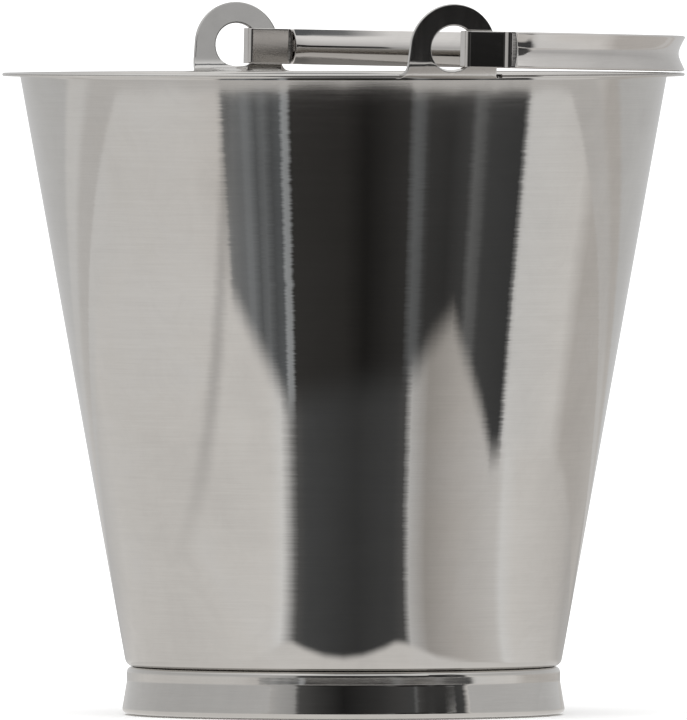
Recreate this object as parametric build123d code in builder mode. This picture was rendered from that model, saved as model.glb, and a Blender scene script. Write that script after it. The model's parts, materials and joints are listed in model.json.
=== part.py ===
"""Stainless steel milk pail of about 12 litres with a folded-down bail handle.

The pail is a deep-drawn conical shell with a flat hemmed rim, standing on a separate
flared base ring.  Two stamped ears are butt-welded into notches in the rim, and a bail
pressed from one strip hooks through their holes with a flattened, folded loop at each end.

Frame: millimetres, +Z up, origin at the centre of the base ring's underside.
The ears stand on the Y axis, and the bail lies folded towards +X on the rim.
"""

import math
import os

from build123d import *

os.makedirs("parts", exist_ok=True)

# ---- driving dimensions ----------------------------------------------------------------
HEIGHT = 286.0  # top face of the rim
RIM_RADIUS = 152.5  # outer edge of the rim
SHEET = 0.8  # shell sheet
HEM_INNER_RADIUS = 147.5  # where the folded-under edge of the rim ends
NOTCH_RADIUS = 146.4  # how far in the rim is cut away for the ears
SHELL_TOP_RADIUS = 144.6  # outside of the wall, at the underside of the rim
SHELL_BASE_RADIUS = 97.0  # outside of the wall, produced to the shell's underside
SHELL_BASE_Z = 20.8  # underside of the shell's bottom
BASE_CORNER = 4.0  # outside radius between wall and bottom
RIM_BEND = 1.5  # concave radius between wall and rim

RING_SHEET = 1.2
RING_INNER_RADIUS = 84.0  # inner edge of the ring's top flange
RING_TOP_RADIUS = 96.8
RING_FOOT_RADIUS = 99.1
RING_FLARE_Z = 14.5  # the ring is straight above this height and flared below it
RING_FLARE_BEND = 5.0
RING_LIP = 4.5  # width of the turned-in foot
RING_SHOULDER = 2.4  # outside radius under the shell
RING_FOOT_CORNER = 1.9
RING_WELDS = 6
RING_WELD_RADIUS = 2.6
RING_WELD_CIRCLE = 88.5
RING_WELD_HEIGHT = 0.35

EAR_PLATE = 2.0
EAR_RADIUS = 19.8  # outside of the ear's eye
EAR_HOLE_RADIUS = 10.2
EAR_HALF_WIDTH = 24.0  # at the rim
EAR_TAPER = 6.0  # degrees, sides of the ear from vertical
EAR_FLARE_RISE = 4.0  # height over which the sides sweep out to the rim
EAR_BEND = 8.0  # outside radius of the bend at the ear's foot
EAR_LEAN = 5.5  # degrees outwards from vertical
EAR_FACE_Y = 153.2  # outer face of the ear where its bend ends
PIVOT_RISE = 11.4  # eye centre above the rim
EAR_WELD_LEG = 0.5  # width of the bead under the rim at the ear's foot
EAR_WELD_DROP = 1.9  # how far below the rim's top the bead reaches

BAIL_WIDTH = 16.0
BAIL_SHEET = 1.5
BAIL_HOLLOW = 3.2  # depth of the channel along the grip
BAIL_ROUNDING = 2.6  # softens the bottom of the channel's V
BAIL_REACH = 152.4  # outermost point of the folded bail, from the ears' axis
BAIL_FLAT_END_X = 26.8  # where the flat strip starts to turn into a channel
BAIL_TRANSITION = 3.4  # degrees of arc over which it turns
BAIL_TRANSITION_STEPS = 5
BAIL_RIM_GAP = 0.3
LOOP_THROUGH_X = 4.3  # near face of the strip where it passes through the ear
LOOP_GAP_OUTSIDE = 3.6  # room outside the ear plate's middle
LOOP_GAP_INSIDE = 2.7  # room inside the ear plate's middle
LOOP_STEP_X = 22.4  # where the loop's outer plate steps out to the grip
LOOP_STEP = 1.7
LOOP_STEP_LENGTH = 2.0
LOOP_INNER_END_X = 23.2  # free end of the folded strip
LOOP_CORNER = 2.4  # outside radius of the loop's bends
LOOP_STEP_HOLLOW_BEND = 1.2  # outside radius where the step starts
LOOP_STEP_CROWN_BEND = 2.2  # outside radius where the step ends

# ---- derived dimensions ----------------------------------------------------------------
PIVOT_Z = HEIGHT + PIVOT_RISE
WALL_ANGLE = math.atan2(SHELL_TOP_RADIUS - SHELL_BASE_RADIUS, HEIGHT - SHEET - SHELL_BASE_Z)
WALL_SHIFT = SHEET / math.cos(WALL_ANGLE)  # sheet thickness measured along the radius

LEAN = math.radians(EAR_LEAN)
EAR_INNER_BEND = EAR_BEND - EAR_PLATE
EAR_BEND_Y = EAR_FACE_Y - EAR_BEND * math.cos(LEAN)
EAR_BEND_END_RISE = EAR_INNER_BEND - EAR_BEND * math.sin(LEAN)
EAR_OUTER_PIVOT_Y = EAR_FACE_Y + (PIVOT_RISE - EAR_BEND_END_RISE) * math.tan(LEAN)
EAR_PIVOT_Y = EAR_OUTER_PIVOT_Y - EAR_PLATE / 2 / math.cos(LEAN)

LOOP_OUTER_Y = EAR_PIVOT_Y + LOOP_GAP_OUTSIDE + BAIL_SHEET
LOOP_INNER_Y = EAR_PIVOT_Y - LOOP_GAP_INSIDE - BAIL_SHEET
STEP_END_X = LOOP_STEP_X + LOOP_STEP_LENGTH
GRIP_Y = LOOP_OUTER_Y + LOOP_STEP  # outside of the strip where the grip's arc starts

# The grip's outside follows one arc, centred on the X axis, through (STEP_END_X, GRIP_Y)
# and the outermost point (BAIL_REACH, 0).
ARC_CENTRE_X = (STEP_END_X**2 + GRIP_Y**2 - BAIL_REACH**2) / (2 * (STEP_END_X - BAIL_REACH))
ARC_RADIUS = BAIL_REACH - ARC_CENTRE_X
FLAT_END = math.degrees(math.acos((BAIL_FLAT_END_X - ARC_CENTRE_X) / ARC_RADIUS))
CHANNEL_END = FLAT_END - BAIL_TRANSITION
BAIL_TILT = math.degrees(math.asin((PIVOT_RISE - BAIL_WIDTH / 2 - BAIL_RIM_GAP) / BAIL_REACH))


def wall_radius(z):
    """Outside radius of the shell's wall at height z."""
    return SHELL_BASE_RADIUS + (z - SHELL_BASE_Z) * math.tan(WALL_ANGLE)


# ---- shell: wall, bottom and hemmed rim, one deep-drawn sheet ---------------------------
INSIDE_BASE_RADIUS = wall_radius(SHELL_BASE_Z + SHEET) - WALL_SHIFT
INSIDE_TOP_RADIUS = wall_radius(HEIGHT) - WALL_SHIFT
NOTCH_REACH = 3 * SHEET

with BuildPart() as pail_body:
    with BuildSketch(Plane.XZ):
        with BuildLine():
            FilletPolyline(
                (0, SHELL_BASE_Z),
                (SHELL_BASE_RADIUS, SHELL_BASE_Z),
                (SHELL_TOP_RADIUS, HEIGHT - SHEET),
                (HEM_INNER_RADIUS, HEIGHT - SHEET),
                (HEM_INNER_RADIUS, HEIGHT - 2 * SHEET),
                (RIM_RADIUS, HEIGHT - 2 * SHEET),
                (RIM_RADIUS, HEIGHT),
                (INSIDE_TOP_RADIUS, HEIGHT),
                (INSIDE_BASE_RADIUS, SHELL_BASE_Z + SHEET),
                (0, SHELL_BASE_Z + SHEET),
                radius=[
                    BASE_CORNER,
                    RIM_BEND,
                    0,
                    0.4 * SHEET,
                    0.9 * SHEET,
                    0.9 * SHEET,
                    RIM_BEND + SHEET,
                    BASE_CORNER - SHEET,
                ],
            )
            Line((0, SHELL_BASE_Z + SHEET), (0, SHELL_BASE_Z))
        make_face()
    revolve(axis=Axis.Z)
    # notches in the rim for the two ears
    with BuildSketch(Plane.XY.offset(HEIGHT - NOTCH_REACH)):
        Rectangle(2 * EAR_HALF_WIDTH, 2 * RIM_RADIUS + NOTCH_REACH)
        Circle(NOTCH_RADIUS, mode=Mode.SUBTRACT)
    extrude(amount=2 * NOTCH_REACH, mode=Mode.SUBTRACT)
pail_body.part.label = "pail_body"
export_step(pail_body.part, "parts/pail_body.step")

# ---- base ring: C-section, welded under the shell ---------------------------------------
with BuildPart() as base_ring:
    with BuildSketch(Plane.XZ):
        with BuildLine():
            FilletPolyline(
                (RING_INNER_RADIUS, SHELL_BASE_Z),
                (RING_TOP_RADIUS, SHELL_BASE_Z),
                (RING_TOP_RADIUS, RING_FLARE_Z),
                (RING_FOOT_RADIUS, 0),
                (RING_FOOT_RADIUS - RING_LIP, 0),
                (RING_FOOT_RADIUS - RING_LIP, RING_SHEET),
                (RING_FOOT_RADIUS - RING_SHEET, RING_SHEET),
                (RING_TOP_RADIUS - RING_SHEET, RING_FLARE_Z),
                (RING_TOP_RADIUS - RING_SHEET, SHELL_BASE_Z - RING_SHEET),
                (RING_INNER_RADIUS, SHELL_BASE_Z - RING_SHEET),
                radius=[
                    RING_SHOULDER,
                    RING_FLARE_BEND,
                    RING_FOOT_CORNER,
                    0.25 * RING_SHEET,
                    0.25 * RING_SHEET,
                    RING_FOOT_CORNER - RING_SHEET,
                    RING_FLARE_BEND,
                    RING_SHOULDER - RING_SHEET,
                ],
            )
            Line((RING_INNER_RADIUS, SHELL_BASE_Z - RING_SHEET), (RING_INNER_RADIUS, SHELL_BASE_Z))
        make_face()
    revolve(axis=Axis.Z)
base_ring.part.label = "base_ring"
export_step(base_ring.part, "parts/base_ring.step")

# ---- spot welds under the ring's top flange ---------------------------------------------
with BuildPart() as base_ring_welds:
    with BuildSketch(Plane.XY.offset(SHELL_BASE_Z - RING_SHEET - RING_WELD_HEIGHT)):
        with PolarLocations(RING_WELD_CIRCLE, RING_WELDS, start_angle=180 / RING_WELDS):
            Circle(RING_WELD_RADIUS)
    extrude(amount=RING_WELD_HEIGHT)
base_ring_welds.part.label = "base_ring_welds"
export_step(base_ring_welds.part, "parts/base_ring_welds.step")

# ---- ears: a bent plate trimmed to the ear's outline ------------------------------------
EAR_TOP_RISE = PIVOT_RISE + EAR_RADIUS
EAR_FOOT_Y = NOTCH_RADIUS - 6
EAR_TRIM_DEPTH = 30
TAPER = math.radians(EAR_TAPER)
TAPER_START = (EAR_RADIUS * math.cos(TAPER), PIVOT_RISE + EAR_RADIUS * math.sin(TAPER))
FLARE_START = (
    TAPER_START[0] + (TAPER_START[1] - EAR_FLARE_RISE) * math.tan(TAPER),
    EAR_FLARE_RISE,
)
EAR_SIDE = Plane(origin=(-EAR_HALF_WIDTH - 1, 0, HEIGHT), x_dir=(0, 1, 0), z_dir=(1, 0, 0))
EAR_FRONT = Plane(origin=(0, RIM_RADIUS + 12, HEIGHT), x_dir=(1, 0, 0), z_dir=(0, -1, 0))


def bend_point(radius, degrees):
    """Point of the bend at the ear's foot: -90 is the start on the rim, -lean is its end."""
    turn = math.radians(degrees)
    return EAR_BEND_Y + radius * math.cos(turn), EAR_INNER_BEND + radius * math.sin(turn)


def plate_point(start, length):
    """Point further up the leaning plate from the given start."""
    return start[0] + length * math.sin(LEAN), start[1] + length * math.cos(LEAN)


OUTER_BEND_END = bend_point(EAR_BEND, -EAR_LEAN)
INNER_BEND_END = bend_point(EAR_INNER_BEND, -EAR_LEAN)
BEND_MIDDLE = -(90 + EAR_LEAN) / 2

with BuildPart() as ear:
    with BuildSketch(EAR_SIDE):
        with BuildLine():
            Line((EAR_FOOT_Y, -EAR_PLATE), (EAR_BEND_Y, -EAR_PLATE))
            ThreePointArc((EAR_BEND_Y, -EAR_PLATE), bend_point(EAR_BEND, BEND_MIDDLE), OUTER_BEND_END)
            Polyline(
                OUTER_BEND_END,
                plate_point(OUTER_BEND_END, EAR_TOP_RISE + 2),
                plate_point(INNER_BEND_END, EAR_TOP_RISE + 2),
                INNER_BEND_END,
            )
            ThreePointArc(INNER_BEND_END, bend_point(EAR_INNER_BEND, BEND_MIDDLE), (EAR_BEND_Y, 0))
            Polyline((EAR_BEND_Y, 0), (EAR_FOOT_Y, 0), (EAR_FOOT_Y, -EAR_PLATE))
        make_face()
    extrude(amount=2 * EAR_HALF_WIDTH + 2)
    with BuildSketch(EAR_FRONT):
        with BuildLine():
            ThreePointArc(
                TAPER_START, (0, EAR_TOP_RISE), (-TAPER_START[0], TAPER_START[1])
            )
            for side in (1, -1):
                Line((side * TAPER_START[0], TAPER_START[1]), (side * FLARE_START[0], FLARE_START[1]))
                Spline(
                    (side * FLARE_START[0], FLARE_START[1]),
                    (side * EAR_HALF_WIDTH, 0),
                    tangents=[(side * math.tan(TAPER), -1), (side, -0.35)],
                )
                Line((side * EAR_HALF_WIDTH, 0), (side * EAR_HALF_WIDTH, -EAR_PLATE))
            Line((EAR_HALF_WIDTH, -EAR_PLATE), (-EAR_HALF_WIDTH, -EAR_PLATE))
        make_face()
        with Locations((0, PIVOT_RISE)):
            Circle(EAR_HOLE_RADIUS, mode=Mode.SUBTRACT)
    extrude(amount=EAR_TRIM_DEPTH, mode=Mode.INTERSECT)
    # foot trimmed to the edge of the notch in the rim
    with BuildSketch(Plane.XY.offset(HEIGHT - EAR_PLATE)):
        Circle(NOTCH_RADIUS)
    extrude(amount=2 * EAR_PLATE, mode=Mode.SUBTRACT)

with BuildPart() as ear_rear:
    add(ear.part)
ear_rear.part.label = "ear_rear"
export_step(ear_rear.part, "parts/ear_rear.step")

with BuildPart() as ear_front:
    with Locations(Location((0, 0, 0), (0, 0, 180))):
        add(ear.part)
ear_front.part.label = "ear_front"
export_step(ear_front.part, "parts/ear_front.step")

# ---- fillet welds under the rim, along the foot of each ear -----------------------------
WELD_SWEEP = 2 * math.degrees(math.asin((EAR_HALF_WIDTH - 1) / NOTCH_RADIUS))

with BuildPart() as ear_welds:
    for turn in (0, 180):
        with BuildSketch(Plane.XZ.rotated((0, 0, turn + 90 - WELD_SWEEP / 2))):
            with BuildLine():
                Polyline(
                    (NOTCH_RADIUS, HEIGHT - EAR_WELD_DROP),
                    (NOTCH_RADIUS, HEIGHT - SHEET),
                    (NOTCH_RADIUS - EAR_WELD_LEG, HEIGHT - SHEET),
                    (NOTCH_RADIUS, HEIGHT - EAR_WELD_DROP),
                )
            make_face()
        revolve(axis=Axis.Z, revolution_arc=WELD_SWEEP)
ear_welds.part.label = "ear_welds"
export_step(ear_welds.part, "parts/ear_welds.step")

# ---- bail: one strip, drawn level with its pivot axis on Y, then laid on the rim --------
HALF_WIDTH = BAIL_WIDTH / 2
BAIL_AXIS = Axis((ARC_CENTRE_X, 0, 0), (0, 0, 1))
FLARE_DIVISIONS = 8


def arc_plane(degrees):
    """Plane across the grip at an angle from its outermost point: x is the radius, y is up."""
    turn = math.radians(degrees)
    return Plane(
        origin=(ARC_CENTRE_X, 0, 0),
        x_dir=(math.cos(turn), math.sin(turn), 0),
        z_dir=(math.sin(turn), -math.cos(turn), 0),
    )


def face_points(radius, half_height, depth):
    """Points of one face of the strip: a V of the given depth with a rounded bottom."""
    edge = math.hypot(half_height, BAIL_ROUNDING)
    points = []
    for step in range(FLARE_DIVISIONS + 1):
        height = half_height * (2 * step / FLARE_DIVISIONS - 1)
        hollow = (edge - math.hypot(height, BAIL_ROUNDING)) / (edge - BAIL_ROUNDING)
        points.append((radius - depth * hollow, height))
    return points


def strip_section(depth):
    """Closed outline of the strip's section, hollowed to the given depth."""
    slope = math.atan2(depth, HALF_WIDTH)
    outer_half = HALF_WIDTH - BAIL_SHEET * math.sin(slope)
    inner_radius = ARC_RADIUS - BAIL_SHEET * math.cos(slope)
    outer = face_points(ARC_RADIUS, outer_half, depth)
    inner_depth = depth + BAIL_SHEET * (1 - math.cos(slope))
    inner = face_points(inner_radius, HALF_WIDTH, inner_depth)
    Spline(*outer)
    Spline(*inner)
    Line(outer[0], inner[0])
    Line(outer[-1], inner[-1])


def smooth_step(share):
    return share * share * (3 - 2 * share)


def inner_face(path):
    """The other face of the strip whose outer face follows the path, which has the strip on its left."""
    headings = [(Vector(*b) - Vector(*a)).normalized() for a, b in zip(path, path[1:])]
    normals = [heading.rotate(Axis.Z, 90) for heading in headings]
    points = []
    for corner, before, after in zip(path, normals[:1] + normals, normals + normals[-1:]):
        point = Vector(*corner) + (before + after) * (BAIL_SHEET / (1 + before.dot(after)))
        points.append((point.X, point.Y))
    return points


FLAT_TURN = math.radians(FLAT_END)
FLAT_END_Y = ARC_RADIUS * math.sin(FLAT_TURN)
LOOP_FACE = [
    (BAIL_FLAT_END_X, FLAT_END_Y),
    (STEP_END_X, FLAT_END_Y + (BAIL_FLAT_END_X - STEP_END_X) / math.tan(FLAT_TURN)),
    (LOOP_STEP_X, LOOP_OUTER_Y),
    (LOOP_THROUGH_X, LOOP_OUTER_Y),
    (LOOP_THROUGH_X, LOOP_INNER_Y),
    (LOOP_INNER_END_X, LOOP_INNER_Y),
]
LOOP_FACE_RADII = [LOOP_STEP_CROWN_BEND, LOOP_STEP_HOLLOW_BEND, LOOP_CORNER, LOOP_CORNER]
LOOP_INNER_RADII = [
    LOOP_STEP_CROWN_BEND - BAIL_SHEET,
    LOOP_STEP_HOLLOW_BEND + BAIL_SHEET,
    LOOP_CORNER - BAIL_SHEET,
    LOOP_CORNER - BAIL_SHEET,
]
LOOP_END_RADIUS = 0.25 * BAIL_SHEET
LOOP_OUTLINE = LOOP_FACE + inner_face(LOOP_FACE)[::-1]
LOOP_OUTLINE_RADII = LOOP_FACE_RADII + [LOOP_END_RADIUS, LOOP_END_RADIUS] + LOOP_INNER_RADII[::-1]

with BuildPart() as level_bail:
    # grip
    with BuildSketch(arc_plane(-CHANNEL_END)):
        with BuildLine():
            strip_section(BAIL_HOLLOW)
        make_face()
    revolve(axis=BAIL_AXIS, revolution_arc=2 * CHANNEL_END)
    for side in (1, -1):
        # channel fading out into flat strip
        for step in range(BAIL_TRANSITION_STEPS + 1):
            share = step / BAIL_TRANSITION_STEPS
            with BuildSketch(arc_plane(side * (CHANNEL_END + share * BAIL_TRANSITION))):
                with BuildLine():
                    strip_section(BAIL_HOLLOW * (1 - smooth_step(share)))
                make_face()
        loft()
        # loop through the ear, with the flat strip up to the channel
        with BuildSketch(Plane.XY.offset(-HALF_WIDTH)):
            with BuildLine():
                loop = [(x, side * y) for x, y in LOOP_OUTLINE]
                FilletPolyline(*loop, radius=LOOP_OUTLINE_RADII)
                Line(loop[-1], loop[0])
            make_face()
        extrude(amount=BAIL_WIDTH)

with BuildPart() as handle:
    with Locations(Location((0, 0, PIVOT_Z), (0, BAIL_TILT, 0))):
        add(level_bail.part)
handle.part.label = "handle"
export_step(handle.part, "parts/handle.step")
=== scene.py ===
"""Looks of the milk pail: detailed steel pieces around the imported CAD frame, studio light and camera."""

import json
import math

import bmesh
import bpy
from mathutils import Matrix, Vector, noise


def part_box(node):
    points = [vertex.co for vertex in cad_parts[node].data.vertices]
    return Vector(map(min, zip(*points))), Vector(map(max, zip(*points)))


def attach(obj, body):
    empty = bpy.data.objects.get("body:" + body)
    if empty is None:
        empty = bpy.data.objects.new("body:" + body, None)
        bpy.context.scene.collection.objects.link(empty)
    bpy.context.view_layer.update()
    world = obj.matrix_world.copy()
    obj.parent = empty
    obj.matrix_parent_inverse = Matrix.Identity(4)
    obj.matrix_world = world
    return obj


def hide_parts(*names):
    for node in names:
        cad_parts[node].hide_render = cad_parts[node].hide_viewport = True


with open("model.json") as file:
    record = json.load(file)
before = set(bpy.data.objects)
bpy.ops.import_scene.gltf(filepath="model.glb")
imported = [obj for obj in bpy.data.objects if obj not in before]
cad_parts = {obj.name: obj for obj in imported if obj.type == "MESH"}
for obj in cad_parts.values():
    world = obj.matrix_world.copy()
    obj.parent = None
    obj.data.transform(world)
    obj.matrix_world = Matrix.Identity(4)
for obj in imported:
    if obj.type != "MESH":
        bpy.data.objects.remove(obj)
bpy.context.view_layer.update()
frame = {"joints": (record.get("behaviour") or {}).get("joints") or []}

MM = 0.001

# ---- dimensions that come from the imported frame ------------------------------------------
BODY_LOW, BODY_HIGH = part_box("pail_body")
_, EAR_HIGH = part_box("ear_rear")
WELD_LOW, WELD_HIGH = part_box("base_ring_welds")
PIVOT_Z = frame["joints"][0]["pos_m"][2]

RIM_Z = BODY_HIGH.z
RIM_RADIUS = BODY_HIGH.x
BASE_Z = BODY_LOW.z

# ---- dimensions of the sheet, as in the CAD ----------------------------------------------
SHEET = 0.8 * MM
HEM_RADIUS = 147.5 * MM
NOTCH_RADIUS = 146.4 * MM
WALL_TOP_RADIUS = 144.6 * MM
WALL_BASE_RADIUS = 97.0 * MM
BASE_CORNER = 4.0 * MM
RIM_BEND = 1.5 * MM

RING_SHEET = 1.2 * MM
RING_INNER = 84.0 * MM
RING_TOP = 96.8 * MM
RING_FOOT = 99.1 * MM
RING_FLARE_Z = 14.5 * MM
RING_FLARE_BEND = 5.0 * MM
RING_LIP = 4.5 * MM
RING_SHOULDER = 2.4 * MM
RING_FOOT_CORNER = 1.9 * MM

EAR_PLATE = 2.0 * MM
EAR_RADIUS = 19.8 * MM
EYE_RADIUS = 10.2 * MM
EAR_HALF_WIDTH = EAR_HIGH.x
EAR_TAPER = math.radians(6.0)
EAR_FLARE_RISE = 4.0 * MM
EAR_BEND = 8.0 * MM
EAR_LEAN = math.radians(5.5)
EAR_FACE_Y = 153.2 * MM
EDGE = 0.35 * MM

BAIL_HALF = 8.0 * MM
BAIL_SHEET = 1.5 * MM
BAIL_HOLLOW = 3.2 * MM
BAIL_ROUNDING = 2.6 * MM
BAIL_EDGE = 0.3 * MM
BAIL_REACH = 152.4 * MM
BAIL_GAP = 0.3 * MM  # left between the folded bail and the rim
BAIL_TILT = math.asin((PIVOT_Z - RIM_Z - BAIL_HALF - BAIL_GAP) / BAIL_REACH)
LOOP_THROUGH_X = 4.3 * MM
LOOP_OUTSIDE = 3.6 * MM
LOOP_INSIDE = 2.7 * MM
LOOP_STEP_X = 22.4 * MM
LOOP_STEP = 1.7 * MM
LOOP_STEP_LENGTH = 2.0 * MM
LOOP_STEP_HOLLOW = 1.2 * MM
LOOP_STEP_CROWN = 2.2 * MM
FLAT_END_X = 26.8 * MM
LOOP_END_X = 23.2 * MM
LOOP_CORNER = 2.4 * MM
CHANNEL_START_X = 27.0 * MM
CHANNEL_BULGE = 1.3 * MM  # the channel starts this much later in the middle of the strip
CHANNEL_END_WALL = 1.6 * MM  # length over which it drops to its deepest
CHANNEL_EXCESS = 0.05  # how much deeper it starts than it runs on
CHANNEL_START_ROUNDING = 11.0 * MM  # it starts with a wide, flat bottom
CHANNEL_FADE = 10.0 * MM

SEGMENTS = 240
CAMERA_TURN = math.radians(-18.4)  # the camera stands this far round from the front ear
CAMERA_DISTANCE = 13.0
CAMERA_RISE = math.radians(0.33)  # seen from the rim's centre


# ---- mesh helpers -------------------------------------------------------------------------
def add_mesh(name, verts, faces, sharp_degrees=None):
    """A smooth-shaded mesh object; edges sharper than the given angle stay sharp."""
    mesh = bpy.data.meshes.new(name)
    mesh.from_pydata([tuple(v) for v in verts], [], faces)
    mesh.validate()
    work = bmesh.new()
    work.from_mesh(mesh)
    bmesh.ops.recalc_face_normals(work, faces=work.faces)
    work.to_mesh(mesh)
    work.free()
    for polygon in mesh.polygons:
        polygon.use_smooth = True
    obj = bpy.data.objects.new(name, mesh)
    bpy.context.scene.collection.objects.link(obj)
    if sharp_degrees is not None:
        mesh.set_sharp_from_angle(angle=math.radians(sharp_degrees))
    return obj


def fillet_path(points, radii, steps=6, support=0.6 * MM):
    """(point, tangent) along a 2-D polyline with rounded corners, kept tight by support points."""
    points = [Vector(p) for p in points]
    out = [(points[0], (points[1] - points[0]).normalized())]
    for i in range(1, len(points) - 1):
        corner, radius = points[i], radii[i - 1]
        before = (corner - points[i - 1]).normalized()
        after = (points[i + 1] - corner).normalized()
        turn = before.angle_signed(after)  # clockwise is positive
        if radius <= 0 or abs(turn) < 1e-6:
            out.append((corner, before))
            out.append((corner, after))
            continue
        cut = radius * math.tan(abs(turn) / 2)
        start, end = corner - before * cut, corner + after * cut
        if (start - out[-1][0]).length > 2 * support:
            out.append((start - before * support, before))
        side = -1 if turn > 0 else 1  # which side the centre lies on
        centre = start + Vector((-before.y, before.x)) * radius * side
        for step in range(steps + 1):
            angle = -turn * step / steps
            c, s = math.cos(angle), math.sin(angle)
            arm = start - centre
            tangent = Vector((before.x * c - before.y * s, before.x * s + before.y * c))
            point = centre + Vector((arm.x * c - arm.y * s, arm.x * s + arm.y * c))
            out.append((point, tangent))
        limit = (points[i + 1] - end).length
        if limit > 2 * support:
            out.append((end + after * support, after))
    out.append((points[-1], (points[-1] - points[-2]).normalized()))
    return out


def outline(points, radii, steps=6, support=0.6 * MM):
    """The points alone of fillet_path, with doubled ones removed."""
    kept = []
    for point, _ in fillet_path(points, radii, steps, support):
        if not kept or (point - kept[-1]).length > 1e-7:
            kept.append(point)
    return kept


def around(radius, angle, z):
    """Point at a radius and height; angle 0 is +X, a quarter turn is +Y."""
    return Vector((radius * math.cos(angle), radius * math.sin(angle), z))


def grid_faces(rows, columns, wrap_rows=False, wrap_columns=False, start=0):
    """Quads of a rows x columns grid of vertices."""
    faces = []
    for i in range(rows if wrap_rows else rows - 1):
        for j in range(columns if wrap_columns else columns - 1):
            a, b = i, (i + 1) % rows
            c, d = j, (j + 1) % columns
            corners = (a * columns + c, a * columns + d, b * columns + d, b * columns + c)
            faces.append(tuple(start + corner for corner in corners))
    return faces


# ---- node helpers --------------------------------------------------------------------------
class Nodes:
    """Short way to write a node tree: add(type, inputs, settings) returns the node."""

    def __init__(self, tree):
        self.tree = tree
        tree.nodes.clear()

    def add(self, kind, inputs=None, **settings):
        node = self.tree.nodes.new(kind)
        for key, value in settings.items():
            setattr(node, key, value)
        for key, value in (inputs or {}).items():
            socket = node.inputs[key]
            if isinstance(value, bpy.types.NodeSocket):
                self.tree.links.new(value, socket)
            else:
                socket.default_value = value
        return node

    def math(self, operation, a, b=0.0):
        return self.add("ShaderNodeMath", {0: a, 1: b}, operation=operation).outputs[0]

    def vector(self, operation, a, b=None):
        second = {} if b is None else {"Scale" if operation == "SCALE" else 1: b}
        return self.add("ShaderNodeVectorMath", {0: a, **second}, operation=operation).outputs[0]

    def remap(self, value, low, high, to_low, to_high):
        inputs = {"Value": value, "From Min": low, "From Max": high, "To Min": to_low, "To Max": to_high}
        return self.add("ShaderNodeMapRange", inputs).outputs[0]

    def noise(self, vector, scale, detail=2.0, roughness=0.5, distortion=0.0):
        inputs = {
            "Vector": vector,
            "Scale": scale,
            "Detail": detail,
            "Roughness": roughness,
            "Distortion": distortion,
        }
        return self.add("ShaderNodeTexNoise", inputs).outputs[0]

    def ramp(self, value, stops):
        node = self.add("ShaderNodeValToRGB", {"Fac": value})
        elements = node.color_ramp.elements
        while len(elements) < len(stops):
            elements.new(0.5)
        for element, (position, colour) in zip(elements, stops):
            element.position = position
            element.color = (*colour, 1.0)
        return node.outputs[0]


def round_vector(n, axis_x, turns, lines):
    """Coordinates that run slowly round an upright axis and fast up it and outwards, with no seam."""
    place = n.add("ShaderNodeTexCoord").outputs["Object"]
    parts = n.add("ShaderNodeSeparateXYZ", {0: n.vector("ADD", place, (-axis_x, 0, 0))})
    flat = n.add("ShaderNodeCombineXYZ", {0: parts.outputs[0], 1: parts.outputs[1]}).outputs[0]
    radius = n.add("ShaderNodeVectorMath", {0: flat}, operation="LENGTH").outputs["Value"]
    wide = n.add("ShaderNodeSeparateXYZ", {0: n.vector("SCALE", n.vector("NORMALIZE", flat), turns)})
    up = n.math("MULTIPLY", n.math("ADD", parts.outputs[2], radius), lines)
    return n.add("ShaderNodeCombineXYZ", {0: wide.outputs[0], 1: wide.outputs[1], 2: up}).outputs[0]


def straight_vector(n, scales):
    """Object coordinates stretched by a scale for each axis."""
    return n.vector("MULTIPLY", n.add("ShaderNodeTexCoord").outputs["Object"], scales)


GROOVE_SHARE = 0.45  # how many wide grooves there are to each fine line
FEATHER = 0.006  # how far a groove turns the surface sideways
CLOUDS, SMEARS = 14.0, 55.0  # patches of drift and of smudging per metre
STAIN = 0.5


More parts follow.
